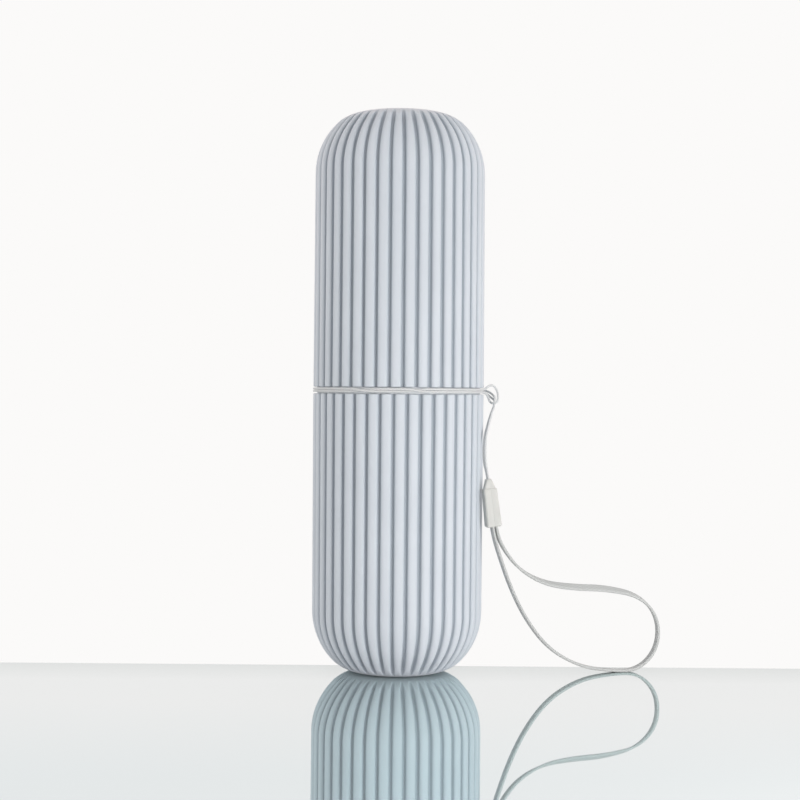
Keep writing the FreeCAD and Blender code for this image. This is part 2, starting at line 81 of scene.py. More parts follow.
def makeCamera():
    data = bpy.data.cameras.new("studioCamera")
    data.sensor_width = shot["sensor"]
    data.lens = shot["focalPixels"] * shot["sensor"] / shot["picture"]
    data.clip_end = shot["clipEnd"]
    camera = bpy.data.objects.new("studioCamera", data)
    bpy.context.scene.collection.objects.link(camera)
    middle = shot["picture"] / 2
    yaw = -math.atan((middle - shot["neckAt"][0]) / shot["focalPixels"])
    pitch = -math.atan((middle - shot["neckAt"][1]) / shot["focalPixels"])
    turn = Matrix.Rotation(yaw, 4, "Z") @ Matrix.Rotation(math.pi / 2 + pitch, 4, "X")
    turn = turn @ Matrix.Rotation(math.radians(shot["roll"]), 4, "Z")
    camera.matrix_world = Matrix.Translation((0, -shot["distance"], neckHeight)) @ turn
    bpy.context.scene.camera = camera


makeCamera()
print("camera set")


# Colours are written as sRGB hex and mixed as linear light
def linear(hexText):
    channels = [int(hexText[i:i + 2], 16) / 255 for i in (1, 3, 5)]
    return [c / 12.92 if c <= 0.04045 else ((c + 0.055) / 1.055) ** 2.4 for c in channels] + [1.0]


def perMm(size):
    return 1 / (size * mm)


def newMaterial(name):
    material = bpy.data.materials.new(name)
    material.use_nodes = True
    material.node_tree.nodes.clear()
    return material, material.node_tree


# A node with its settings, by socket name or number or by property, and its links
def addNode(tree, kind, settings=None, links=None):
    node = tree.nodes.new(kind)
    for name, value in (settings or {}).items():
        if isinstance(name, int) or name in node.inputs:
            node.inputs[name].default_value = value
        else:
            setattr(node, name, value)
    for name, socket in (links or {}).items():
        tree.links.new(socket, node.inputs[name])
    return node


# The look's two tones, mixed by a share
def mixTones(tree, look, share):
    ends = {"data_type": "RGBA", 6: linear(look["deep"]), 7: linear(look["pale"])}
    return addNode(tree, "ShaderNodeMix", ends, {0: share})


def wear(piece, material):
    piece.data.materials.clear()
    piece.data.materials.append(material)


caseLook = {
    "pale": "#DCE2E8",
    "deep": "#D2D8DF",
    # shaded: painted shade, the darker tone the grooves are coloured towards their bottoms
    "shaded": "#B1B9C1",
    "cloudMm": 24.0,
    "grainMm": 0.22,
    "grainDepthMm": 0.006,
    "grainStrength": 0.5,
    "smooth": 0.36,
    "rough": 0.48,
}


# Polypropylene, injection moulded in a finely eroded tool: an even satin with a soft broad shine
def satinPolypropylene(name, look):
    material, tree = newMaterial(name)
    coords = addNode(tree, "ShaderNodeTexCoord")
    cloud = addNode(tree, "ShaderNodeTexNoise", {"Scale": perMm(look["cloudMm"]), "Detail": 2.0},
                    {"Vector": coords.outputs["Object"]})
    tone = mixTones(tree, look, cloud.outputs["Fac"])
    # Painted shade: the colour is darkened into the grooves by the grooveShade mask, standing in for the
    # shade there
    if "shaded" in look:
        paintedShadeMask = addNode(tree, "ShaderNodeAttribute", {"attribute_name": "grooveShade"})
        tone = addNode(tree, "ShaderNodeMix", {"data_type": "RGBA", 7: linear(look["shaded"])},
                       {0: paintedShadeMask.outputs["Fac"], 6: tone.outputs[2]})
    grain = addNode(tree, "ShaderNodeTexNoise", {"Scale": perMm(look["grainMm"]), "Detail": 3.0},
                    {"Vector": coords.outputs["Object"]})
    gloss = addNode(tree, "ShaderNodeMapRange", {"To Min": look["smooth"], "To Max": look["rough"]},
                    {"Value": grain.outputs["Fac"]})
    relief = addNode(tree, "ShaderNodeBump",
                     {"Strength": look["grainStrength"], "Distance": look["grainDepthMm"] * mm},
                     {"Height": grain.outputs["Fac"]})
    shader = addNode(tree, "ShaderNodeBsdfPrincipled", {"IOR": 1.49},
                     {"Base Color": tone.outputs[2], "Roughness": gloss.outputs["Result"],
                      "Normal": relief.outputs["Normal"]})
    addNode(tree, "ShaderNodeOutputMaterial", links={"Surface": shader.outputs["BSDF"]})
    return material


cordLook = {
    "pale": "#E1E2E2",
    "deep": "#D1D3D4",
    "acrossMm": 0.42,
    "alongMm": 0.7,
    "depthMm": 0.025,
    "reliefStrength": 0.8,
    "rough": 0.72,
}
strapLook = {
    "pale": "#CFD0CE",
    "deep": "#C2C4C3",
    "acrossMm": 0.64,
    "alongMm": 0.9,
    "depthMm": 0.06,
    "reliefStrength": 0.8,
    "rough": 0.8,
}


# Polyester yarn, braided or woven: yarns cross on the slant, dull, with a little sheen at the edges
def wovenPolyester(name, look):
    material, tree = newMaterial(name)
    coords = addNode(tree, "ShaderNodeTexCoord")
    waves = []
    for slant in (1, -1):
        spacing = (slant / look["acrossMm"], 1 / look["alongMm"], 1)
        placed = addNode(tree, "ShaderNodeMapping", {"Scale": spacing}, {"Vector": coords.outputs["UV"]})
        wave = addNode(tree, "ShaderNodeTexWave", {"bands_direction": "DIAGONAL", "Scale": math.pi / 10},
                       {"Vector": placed.outputs["Vector"]})
        waves.append(wave)
    yarn = addNode(tree, "ShaderNodeMath", {"operation": "MAXIMUM"},
                   {0: waves[0].outputs["Fac"], 1: waves[1].outputs["Fac"]})
    tone = mixTones(tree, look, yarn.outputs["Value"])
    relief = addNode(tree, "ShaderNodeBump",
                     {"Strength": look["reliefStrength"], "Distance": look["depthMm"] * mm},
                     {"Height": yarn.outputs["Value"]})
    shader = addNode(tree, "ShaderNodeBsdfPrincipled",
                     {"Roughness": look["rough"], "Sheen Weight": 0.15, "Sheen Roughness": 0.5},
                     {"Base Color": tone.outputs[2], "Normal": relief.outputs["Normal"]})
    addNode(tree, "ShaderNodeOutputMaterial", links={"Surface": shader.outputs["BSDF"]})
    return material


# A cord's smooth line: a NURBS spline on the route's points, read back as points
def smoothLine(name, route, steps):
    curve = bpy.data.curves.new(name, "CURVE")
    curve.dimensions = "3D"
    curve.resolution_u = steps
    spline = curve.splines.new("NURBS")
    spline.points.add(len(route) - 1)
    for point, spot in zip(spline.points, route):
        point.co = (*spot, 1)
    spline.order_u = 3
    spline.use_endpoint_u = True
    holder = bpy.data.objects.new(name, curve)
    mesh = bpy.data.meshes.new_from_object(holder)
    line = [vertex.co.copy() for vertex in mesh.vertices]
    bpy.data.meshes.remove(mesh)
    bpy.data.objects.remove(holder)
    bpy.data.curves.remove(curve)
    return line


# Sweeps an outline of (across, through) points along a line; twist turns it about the line.
# UV is in millimetres: round the outline, and along the line
def sweepOutline(name, line, across, outline, twist):
    spots = []
    faces = []
    along = [0.0]
    for before, after in zip(line, line[1:]):
        along.append(along[-1] + (after - before).length)
    count = len(outline)
    for i, spot in enumerate(line):
        tangent = (line[min(i + 1, len(line) - 1)] - line[max(i - 1, 0)]).normalized()
        across = (across - tangent * across.dot(tangent)).normalized()
        turned = Matrix.Rotation(twist(along[i] / along[-1]), 3, tangent) @ across
        through = tangent.cross(turned)
        spots += [spot + turned * a + through * b for a, b in outline]
    for i in range(len(line) - 1):
        for j in range(count):
            k = (j + 1) % count
            faces.append((i * count + j, i * count + k, (i + 1) * count + k, (i + 1) * count + j))
    faces.append(tuple(range(count))[::-1])
    faces.append(tuple(range((len(line) - 1) * count, len(line) * count)))
    mesh = bpy.data.meshes.new(name)
    mesh.from_pydata(spots, [], faces)
    rim = [0.0]
    for a, b in zip(outline, outline[1:] + outline[:1]):
        rim.append(rim[-1] + math.dist(a, b))
    uv = mesh.uv_layers.new(name="UVMap").data
    for face in mesh.polygons[:-2]:
        i, j = divmod(face.index, count)
        start, finish = along[i], along[i + 1]
        corners = ((rim[j], start), (rim[j + 1], start), (rim[j + 1], finish), (rim[j], finish))
        for loop, corner in zip(face.loop_indices, corners):
            uv[loop].uv = (corner[0] / mm, corner[1] / mm)
    mesh.shade_smooth()
    piece = bpy.data.objects.new(name, mesh)
    bpy.context.scene.collection.objects.link(piece)
    print(name, "swept,", round(along[-1] / mm, 1), "mm long")
    return piece, along[-1]


# The clasp hangs beside the ribs, turned with the loop and leaning out at its foot
clasp = {
    "loopTurn": 12.4,
    "lean": 7.0,
    "startOut": 3.04,
    "startFront": 9.58,
    "standoff": 0.37,
    "height": 53.4,
}
loopTurn = math.radians(clasp["loopTurn"])
loopAlong = Vector((math.cos(loopTurn), math.sin(loopTurn), 0))
loopNormal = Vector((-math.sin(loopTurn), math.cos(loopTurn), 0))
loopStart = Vector((caseRadius + clasp["startOut"] * mm, -clasp["startFront"] * mm, 0))


def loopPoint(along, height):
    return loopStart + loopAlong * (along * mm) + Vector((0, 0, height * mm))


claspLean = Matrix.Rotation(-math.radians(clasp["lean"]), 4, "Y")
claspPlace = Matrix.Translation(loopPoint(clasp["standoff"], clasp["height"]))
claspPlace = claspPlace @ Matrix.Rotation(loopTurn, 4, "Z") @ claspLean

# The cord: out from the ribs, along Y and up from the neck's middle, in millimetres
cord = {
    "diameter": 0.8,
    "knotHeight": 10.5,
    "noseHeight": 18.4,
    "halfSpacing": 0.42,
    "lift": 0.1,
    "circle": 30.65,
    "corners": (
        22.5, 37.5, 52.5, 67.5, 82.5, 97.5, 112.5, 127.5, 142.5, 157.5, 172.5, 187.5, 202.5, 217.5,
        230.0, 240.0, 248.8, 262.5, 277.2, 285.8, 296.0, 307.5, 322.5, 337.5,
    ),
    "crossings": ((240.0, 248.8), (277.2, 285.8)),
    "crossingOut": 0.42,
    "steps": 12,
    "sides": 12,
}


def claspPoint(across, deep, height):
    return claspPlace @ Vector((across * mm, deep * mm, height * mm))


def hitchPoints(offsets):
    return [Vector((caseRadius + out * mm, y * mm, neckHeight + up * mm)) for out, y, up in offsets]


def hangingPoints(low, high, spots):
    drop = high.z - low.z
    return [Vector((caseRadius + out * mm, y * mm, low.z + share * drop)) for share, out, y in spots]


# Round the neck the two lanes touch, and change places between the two crossings at the front
def neckTurn(lane):
    corners = cord["corners"]
    first, second = cord["crossings"]
    spots = []
    for i, corner in enumerate(corners):
        step = (corners[min(i + 1, len(corners) - 1)] - corners[max(i - 1, 0)]) / 2
        radius = cord["circle"] / math.cos(math.radians(step / 2))
        radius += cord["crossingOut"] * lane * ((corner in first) - (corner in second))
        side = -lane if first[1] <= corner <= second[0] else lane
        angle = math.radians(corner)
        height = neckHeight + (cord["lift"] + side * cord["halfSpacing"]) * mm
        spots.append(Vector((radius * mm * math.cos(angle), radius * mm * math.sin(angle), height)))
    return spots


def cordRoute():
    lower = cord["lift"] - cord["halfSpacing"]
    upper = cord["lift"] + cord["halfSpacing"]
    backEnd = [claspPoint(0, cord["halfSpacing"], h) for h in (cord["knotHeight"], cord["noseHeight"])]
    frontEnd = [claspPoint(0, -cord["halfSpacing"], h) for h in (cord["noseHeight"], cord["knotHeight"])]
    backHitch = hitchPoints([
        (1.3, -4.2, -12.0), (2.5, -2.7, -8.2), (3.7, -1.95, -5.4), (3.95, -1.85, -3.3),
        (3.8, 0.3, -3.1), (3.0, 2.9, -2.4), (0.5, 5.6, lower),
    ])
    backDrop = hangingPoints(backEnd[-1], backHitch[0], [(0.28, -0.4, -8.7), (0.73, -0.1, -7.3)])
    bight = hitchPoints([
        (0.15, -3.9, lower), (1.5, -1.2, -1.75), (2.35, 0.1, -4.4), (5.15, 0.1, -4.4),
        (5.3, -0.1, -0.3), (3.6, -0.9, 2.3), (1.5, -2.2, 1.9), (0.15, -4.3, upper),
    ])
    frontHitch = hitchPoints([
        (0.5, 5.6, upper), (3.0, 2.9, -0.7), (3.65, 0.3, -1.75), (3.9, -3.15, -2.0),
        (3.75, -3.3, -5.2), (2.7, -4.1, -8.2), (1.6, -5.5, -12.0),
    ])
    frontDrop = hangingPoints(frontEnd[0], frontHitch[-1], [(0.73, 0.3, -8.8), (0.28, 0.3, -10.1)])
    route = backEnd + backDrop + backHitch + neckTurn(-1) + bight
    return route + neckTurn(1)[::-1] + frontHitch + frontDrop + frontEnd


def makeCord():
    radius = cord["diameter"] / 2 * mm
    angles = [2 * math.pi * i / cord["sides"] for i in range(cord["sides"])]
    outline = [(radius * math.cos(a), radius * math.sin(a)) for a in angles]
    line = smoothLine("cordLine", cordRoute(), cord["steps"])
    piece, length = sweepOutline("lanyardCord", line, Vector((0, 1, 0)), outline, lambda share: 0.0)
    return piece, line, length


strap = {
    "width": 3.2,
    "thickness": 1.0,
    "edge": 0.32,
    "layerOffset": 0.65,
    "inside": 5.9,
    "below": -2.0,
    "floorRun": 0.55,
    "steps": 14,
    "twist": -38.0,
    "twistAt": 0.735,
    "twistReach": 0.11,
}


def strapRoute():
    inner = [claspPoint(-strap["layerOffset"], 0, h) for h in (strap["inside"], strap["below"])]
    outer = [claspPoint(strap["layerOffset"], 0, h) for h in (strap["below"], strap["inside"])]
    floorRun = strap["floorRun"]
    loop = [
        (3.2, 41.3), (7.5, 29.9), (13.2, 19.1), (21.4, 9.0), (32.9, 2.5), (44.9, floorRun),
        (55.6, floorRun), (63.0, 8.2), (63.2, 19.6), (55.9, 27.8), (43.0, 30.6), (30.6, 31.1),
        (19.4, 32.8), (10.3, 37.7), (4.4, 44.8),
    ]
    return inner + [loopPoint(along, height) for along, height in loop] + outer


def strapOutline():
    halfWide = strap["width"] / 2 * mm
    halfThick = strap["thickness"] / 2 * mm
    edge = strap["edge"] * mm
    flats = [-0.5, 0.0, 0.5]
    side = [(halfWide, -halfThick + edge), (halfWide, halfThick - edge)]
    top = [(halfWide - edge, halfThick)] + [(halfWide * f, halfThick) for f in flats[::-1]]
    top.append((-halfWide + edge, halfThick))
    return side + top + [(-a, -b) for a, b in side + top]


def strapTwist(share):
    away = (share - strap["twistAt"]) / strap["twistReach"]
    return math.radians(strap["twist"]) * math.exp(-away * away)


def makeStrap():
    line = smoothLine("strapLine", strapRoute(), strap["steps"])
    piece, length = sweepOutline("wristStrap", line, loopNormal, strapOutline(), strapTwist)
    return piece, line, length


cordPiece, cordLine, cordLength = makeCord()
strapPiece, strapLine, strapLength = makeStrap()


# Modelling helpers: a lone point, a line extruded from it, and selecting by place
def startPiece(name):
    bpy.ops.object.select_all(action="DESELECT")
    bpy.ops.mesh.primitive_plane_add(size=mm)
    piece = bpy.context.object
    piece.name = name
    piece.data.name = name
    bpy.ops.object.mode_set(mode="EDIT")
    bpy.ops.mesh.select_all(action="SELECT")
    bpy.ops.mesh.delete(type="VERT")
    return piece


def drawLine(points):
    bpy.ops.mesh.select_mode(type="VERT")
    bpy.ops.mesh.select_all(action="DESELECT")
    bpy.ops.mesh.primitive_plane_add(size=mm)
    bpy.ops.mesh.merge(type="CENTER")
    bpy.ops.transform.translate(value=points[0])
    for before, after in zip(points, points[1:]):
        step = Vector(after) - Vector(before)
        bpy.ops.mesh.extrude_region_move(TRANSFORM_OT_translate={"value": step})


def pick(test, kind="VERT"):
    bpy.ops.mesh.select_mode(type=kind)
    bpy.ops.mesh.select_all(action="DESELECT")
    shape = bmesh.from_edit_mesh(bpy.context.edit_object.data)
    for item in {"VERT": shape.verts, "EDGE": shape.edges}[kind]:
        item.select_set(test(item))
    shape.select_flush_mode()
    bmesh.update_edit_mesh(bpy.context.edit_object.data)


def arc(centre, radius, start, finish, count):
    angles = [math.radians(start + (finish - start) * i / count) for i in range(count + 1)]
    return [(centre[0] + radius * math.cos(a), centre[1] + radius * math.sin(a)) for a in angles]


cup = {
    "wall": 2.6,
    "shoulderRadius": 25.3,
    "endRadius": 15.5,
    "domeTurn": 42.0,
    "ribs": 40,
    "grooveDepth": 1.6,
    "grooveBottom": 0.62,
    "ribRound": (1.7, 0.95),
    "draft": 0.2,
    "wallRows": (0.8, 3.0, 12.0, 36.0, 66.0, 74.0),
    "bottomSteps": 8,
    "ribSteps": 9,
    "shoulderSteps": 12,
    "endSteps": 18,
    "insideSteps": 240,
    "insideArcSteps": 8,
    "rimRounding": 0.4,
    "rimSteps": 4,
    "rimReach": 0.1,
    "lipDepth": 0.8,
    "footReach": 0.2,
    "footRings": ((0.35, 0.0), (0.9, 0.12), (0.8, 0.2), (0.3, 0.0)),
    "trimReach": 2.0,
    "weld": 0.004,
    "smoothAngle": 40.0,
    "ribTurn": -3.36,
    "upperRibTurn": 2.69,
}


# Across one groove and half a rib each side, at the cup's mouth: x out, y along the rim.
# A rib is round from its crown, a quarter of an ellipse (across, deep), down to the groove's wall
def grooveSection():
    radius = caseRadius / mm
    wide, deep = cup["ribRound"]
    crown = cup["grooveBottom"] + wide
    bottom = (radius - cup["grooveDepth"] + cup["grooveBottom"], 0)
    half = arc(bottom, cup["grooveBottom"], 180, 90, cup["bottomSteps"] // 2)
    for inward, rise in arc((0, 0), 1, 0, 90, cup["ribSteps"]):
        across = crown - wide * inward
        half.append((math.sqrt(radius**2 - across**2) - deep * (1 - rise), across))
    half.append((math.sqrt(radius**2 - (crown + wide) ** 2), crown + wide))
    return [(x, -y) for x, y in half[:0:-1]] + half


# How far into the groove, from 0 on the rib to 1 at the bottom, a point beside its middle lies. This share
# sets the painted shade in the grooves
def grooveShare(across):
    wide, deep = cup["ribRound"]
    crown = cup["grooveBottom"] + wide
    depth = 0.0
    if across < cup["grooveBottom"]:
        rise = math.sqrt(cup["grooveBottom"] ** 2 - across**2)
        depth = cup["grooveDepth"] - cup["grooveBottom"] + rise
    elif across < crown:
        depth = deep * (1 - math.sqrt(1 - ((crown - across) / wide) ** 2))
    return depth / cup["grooveDepth"]


def makeCup(name):
    piece = startPiece(name)
    end = cup["endRadius"] * mm
    shoulder = cup["shoulderRadius"] * mm
    wall = cup["wall"] * mm
    turn = math.radians(cup["domeTurn"])
    shoulderCentre = caseRadius - cup["draft"] * mm - shoulder
    shoulderHeight = end + (shoulder - end) * math.sin(turn)
    footRadius = shoulderCentre + (shoulder - end) * math.cos(turn)
    straight = cupHeight - shoulderHeight
    rimRadius = cup["rimRounding"] * mm
    rows = arc((-rimRadius, cupHeight - rimRadius), rimRadius, 90, 0, cup["rimSteps"])
    rows += [(-cup["draft"] * mm * row * mm / straight, cupHeight - row * mm) for row in cup["wallRows"]]
    rows.append((-cup["draft"] * mm, shoulderHeight))
    drawLine([(x * mm + rows[0][0], y * mm, rows[0][1]) for x, y in grooveSection()])
    bpy.ops.mesh.select_all(action="SELECT")
    for before, after in zip(rows, rows[1:]):
        step = (after[0] - before[0], 0, after[1] - before[1])
        bpy.ops.mesh.extrude_region_move(TRANSFORM_OT_translate={"value": step})
    bpy.ops.mesh.spin(steps=cup["shoulderSteps"], angle=-turn, axis=(0, 1, 0),
                      center=(shoulderCentre, 0, shoulderHeight))
    bpy.ops.mesh.spin(steps=cup["endSteps"], angle=turn - math.pi / 2, axis=(0, 1, 0),
                      center=(footRadius, 0, end))
    # past the shoulder the groove's bottom keeps its own line, and fades out on the rounder end, and its
    # painted shade with it
    shape = bmesh.from_edit_mesh(piece.data)
    # grooveShade holds each point's share of painted shade, darkest at the groove bottoms
    shade = shape.verts.layers.float.new("grooveShade")
    for vertex in shape.verts:
        vertex[shade] = grooveShare(abs(vertex.co.y) / mm)
        reach = Vector((vertex.co.x - footRadius, 0, vertex.co.z - end))
        beyond = math.atan2(-reach.z, reach.x) - turn
        depth = end - reach.length
        if vertex.co.z < shoulderHeight and beyond > 0 and depth > 0:
            lift = min(depth, end * (1 - math.cos(beyond)))
            vertex[shade] = (depth - lift) / (cup["grooveDepth"] * mm)
            vertex.co += reach.normalized() * lift
    bmesh.update_edit_mesh(piece.data)
    # half a rib is kept on each side, and the strip is repeated round the axis
    half = math.pi / cup["ribs"]
    for side in (-1, 1):
        bpy.ops.mesh.select_all(action="SELECT")
        bpy.ops.mesh.bisect(plane_co=(0, 0, 0), plane_no=(-math.sin(half), side * math.cos(half), 0),
                            clear_outer=True, threshold=1e-7)
    bpy.ops.mesh.select_all(action="SELECT")
    bpy.ops.mesh.spin(steps=cup["ribs"] - 1, dupli=True, angle=2 * math.pi * (1 - 1 / cup["ribs"]),
                      center=(0, 0, 0), axis=(0, 0, 1))
    bpy.ops.mesh.select_all(action="SELECT")
    bpy.ops.mesh.remove_doubles(threshold=cup["weld"] * mm)
    # the flat foot, with a shallow dimple in rings, each shrunk and raised from the last
    footTop = cup["footReach"] * mm
    pick(lambda edge: edge.is_boundary and max(v.co.z for v in edge.verts) < footTop, "EDGE")
    bpy.ops.transform.resize(value=(1, 1, 0), center_override=(0, 0, 0))
    for shrink, rise in cup["footRings"]:
        bpy.ops.mesh.extrude_region_move(TRANSFORM_OT_translate={"value": (0, 0, rise * mm)})
        bpy.ops.transform.resize(value=(shrink, shrink, 1), center_override=(0, 0, 0))
    bpy.ops.mesh.merge(type="CENTER")
    # the plain inside, spun from its own line
    bore = caseRadius - wall
    arcSteps = cup["insideArcSteps"]
    inside = arc((bore + rimRadius, cupHeight - rimRadius), rimRadius, 90, 180, cup["rimSteps"])
    inside.append((bore, cupHeight - cup["lipDepth"] * mm))
    inside += arc((shoulderCentre, shoulderHeight), shoulder - wall, 0, -cup["domeTurn"], arcSteps)
    inside += arc((footRadius, end), end - wall, -cup["domeTurn"], -90, arcSteps)[1:]
    drawLine([(x, 0, z) for x, z in inside] + [(0, 0, wall)])
    bpy.ops.mesh.select_linked()
    bpy.ops.mesh.spin(steps=cup["insideSteps"], angle=2 * math.pi, center=(0, 0, 0), axis=(0, 0, 1))
    bpy.ops.mesh.select_all(action="SELECT")
    bpy.ops.mesh.remove_doubles(threshold=cup["weld"] * mm)
    # the mouth's flat rim, filled between its outer and inner edges
    rimFloor = cupHeight - cup["rimReach"] * mm
    pick(lambda edge: edge.is_boundary and min(v.co.z for v in edge.verts) > rimFloor, "EDGE")
    bpy.ops.mesh.fill(use_beauty=False)
    bpy.ops.mesh.select_all(action="SELECT")
    bpy.ops.mesh.normals_make_consistent(inside=False)
    bpy.ops.object.mode_set(mode="OBJECT")
    bpy.ops.object.shade_smooth_by_angle(angle=math.radians(cup["smoothAngle"]))
    print(name, "modelled,", len(piece.data.polygons), "faces")
    return piece


def setDown(piece, turns, height):
    bpy.ops.object.select_all(action="DESELECT")
    piece.select_set(True)
    bpy.context.view_layer.objects.active = piece
    piece.rotation_euler = [math.radians(turn) for turn in turns]
    piece.location = (0, 0, height)
    bpy.ops.object.transform_apply(location=True, rotation=True, scale=True)


def copyPiece(piece, name):
    copy = piece.copy()
    copy.data = piece.data.copy()
    copy.name = name
    copy.data.name = name
    bpy.context.scene.collection.objects.link(copy)
    return copy


# The upper cup is the same moulding turned over, with its mouth trimmed shorter
def trimMouth(piece, height):
    bpy.ops.object.select_all(action="DESELECT")
    bpy.context.view_layer.objects.active = piece
    piece.select_set(True)
    bpy.ops.object.mode_set(mode="EDIT")
    pick(lambda vertex: vertex.co.z > cupHeight - cup["trimReach"] * mm)
    bpy.ops.transform.translate(value=(0, 0, height - cupHeight))
    bpy.ops.object.mode_set(mode="OBJECT")


lowerCup = makeCup("lowerCup")
upperCup = copyPiece(lowerCup, "upperCup")
trimMouth(upperCup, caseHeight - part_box("upper_cup")[0].z)
setDown(lowerCup, (0, 0, cup["ribTurn"]), 0)
setDown(upperCup, (180, 0, cup["upperRibTurn"]), caseHeight)


# The neck, seals, divider and clasp keep their CAD shape, with their edges eased
easing = {
    "neck_sleeve": ("neckSleeve", 0.2),
    "upper_seal_ring": ("upperSeal", 0.0),
    "lower_seal_ring": ("lowerSeal", 0.0),
    "divider": ("dividerPlate", 0.3),
    "clasp_inner_half": ("claspInnerHalf", 0.18),
    "clasp_outer_half": ("claspOuterHalf", 0.18),
}
easingCut = {
    "weld": 0.002,
    "flatAngle": 1.0,
    "segments": 3,
    "edgeAngle": 38.0,
}


def easedCopy(node):
    name, width = easing[node]
    edgeAngle = math.radians(easingCut["edgeAngle"])
    source = frame["nodes"][node]
    piece = bpy.data.objects.new(name, source.data.copy())
    piece.data.name = name
    piece.matrix_world = source.matrix_world
    bpy.context.scene.collection.objects.link(piece)
    bpy.ops.object.select_all(action="DESELECT")
    piece.select_set(True)
    bpy.context.view_layer.objects.active = piece
    bpy.ops.object.transform_apply(location=True, rotation=True, scale=True)
    bpy.ops.mesh.customdata_custom_splitnormals_clear()
    bpy.ops.object.mode_set(mode="EDIT")
    bpy.ops.mesh.select_all(action="SELECT")
    bpy.ops.mesh.remove_doubles(threshold=easingCut["weld"] * mm)
    bpy.ops.mesh.dissolve_limited(angle_limit=math.radians(easingCut["flatAngle"]))
    bpy.ops.mesh.normals_make_consistent(inside=False)
    bpy.ops.object.mode_set(mode="OBJECT")
    if width:
        bevel = piece.modifiers.new("eased", "BEVEL")
        bevel.width = width * mm
        bevel.segments = easingCut["segments"]
        bevel.angle_limit = edgeAngle
        bpy.ops.object.modifier_apply(modifier=bevel.name)
    bpy.ops.object.shade_smooth_by_angle(angle=edgeAngle)
    print(name, "eased,", len(piece.data.polygons), "faces")
    return piece


neckSleeve = easedCopy("neck_sleeve")
upperSeal = easedCopy("upper_seal_ring")
lowerSeal = easedCopy("lower_seal_ring")
dividerPlate = easedCopy("divider")
claspInner = easedCopy("clasp_inner_half")
claspOuter = easedCopy("clasp_outer_half")

plainLook = {key: value for key, value in caseLook.items() if key != "shaded"}
neckLook = dict(plainLook, pale="#E2E4E6", deep="#D8DBDE")
dividerLook = dict(plainLook, pale="#E6E8EA", deep="#DEE1E4")
claspLook = dict(plainLook, pale="#DADAD6", deep="#D3D3CE", cloudMm=9.0, grainDepthMm=0.003,
                 smooth=0.28, rough=0.36)
sealLook = dict(plainLook, pale="#E4E6E6", deep="#DCDFDF", cloudMm=6.0, smooth=0.55, rough=0.68)
casePlastic = satinPolypropylene("satinPolypropylene", caseLook)
for piece in (lowerCup, upperCup):
    wear(piece, casePlastic)
wear(neckSleeve, satinPolypropylene("neckPolypropylene", neckLook))
wear(dividerPlate, satinPolypropylene("dividerPolypropylene", dividerLook))
sealSilicone = satinPolypropylene("sealSilicone", sealLook)
for piece in (upperSeal, lowerSeal):
    wear(piece, sealSilicone)
claspPlastic = satinPolypropylene("claspPlastic", claspLook)
for piece in (claspInner, claspOuter):
    wear(piece, claspPlastic)
wear(cordPiece, wovenPolyester("braidedPolyester", cordLook))
wear(strapPiece, wovenPolyester("wovenPolyester", strapLook))
print("materials worn")

# The table is glass near the case, up to its far edge, and everything beyond is white
studio = {
    "edgeBack": 11.0,
    "edgeFade": 34.0,
    "nearFade": 170.0,
    "plateReach": 270.0,
    "plateFade": 430.0,
    "room": "#FBFAF9",
    "sheet": "#E8E8E8",
    "mirror": 0.85,
    # glassTint is the glass's own tint; the darker tints at the far edge and near the camera are painted
    # shade in the reflection
    "glassTint": (0.75, 0.885, 0.89, 1.0),
    "edgeShadeTint": (0.67, 0.8, 0.8, 1.0),
    "nearShadeTint": (0.7, 0.855, 0.87, 1.0),
    "fill": 0.35,
    "gleam": (1.177, 1.003, 0.99, 1.0),
    "tableSize": 8,
    "shineRough": 0.015,
}
# Soft lamps, in metres and watts
lamps = {
    "softboxRight": {"place": (1.02, -1.02, 0.12), "aim": (0, 0, 0.1), "size": 0.8, "power": 11.8},
    "softboxLeft": {"place": (-1.36, -0.42, 0.12), "aim": (0, 0, 0.1), "size": 0.8, "power": 9.8},
    "bounceCard": {"place": (0.16, -0.25, 0.015), "aim": (0, 0, 0.045), "size": 0.12, "power": 0.33},
    "softboxBack": {"place": (0.35, 1.4, 0.3), "aim": (0, 0, 0.1), "size": 0.8, "power": 9.5},
    "softboxTop": {"place": (0, 0, 1.4), "aim": (0, 0, 0.1), "size": 0.9, "power": 2.5},
}


